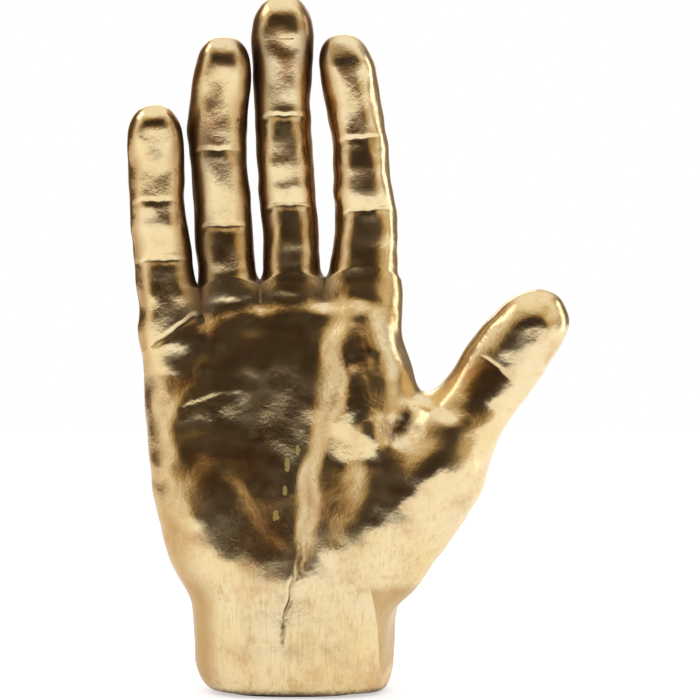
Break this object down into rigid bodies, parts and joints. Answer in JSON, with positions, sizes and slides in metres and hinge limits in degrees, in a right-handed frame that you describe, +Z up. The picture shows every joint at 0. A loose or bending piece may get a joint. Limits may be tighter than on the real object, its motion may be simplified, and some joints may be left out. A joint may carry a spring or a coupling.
{
  "type": "hand sculpture",
  "caption": "Gilded upright sculpture of an open right hand, palm to the front and thumb spread, standing on its cut wrist with a felt-covered underside.",
  "frame": {"origin": "middle of the felt pad's underside, where the wrist stands", "axes": "+Z up to the fingertips, +X to the thumb's side, +Y to the back of the hand, so the palm faces -Y"},
  "size_m": [0.2266, 0.0734, 0.3584],
  "materials": {
    "gilding": "gold leaf over cast resin, burnished, with worn edges and a brown patina in the hollows",
    "steel_pin": "plain drawn bar",
    "board": "dark hardboard, sealed",
    "plaster": "poured plaster, dull",
    "rubber_plug": "moulded black rubber",
    "felt": "black adhesive felt"
  },
  "bodies": {
    "root": {"palm_and_wrist": "gilding", "little_finger": "gilding", "ring_finger": "gilding", "middle_finger": "gilding", "index_finger": "gilding", "thumb": "gilding", "little_finger_pin": "steel_pin", "ring_finger_pin": "steel_pin", "middle_finger_pin": "steel_pin", "index_finger_pin": "steel_pin", "thumb_pin": "steel_pin", "closing_plate": "board", "ballast": "plaster", "pour_hole_plug": "rubber_plug", "felt_pad": "felt"}
  },
  "joints": []
}
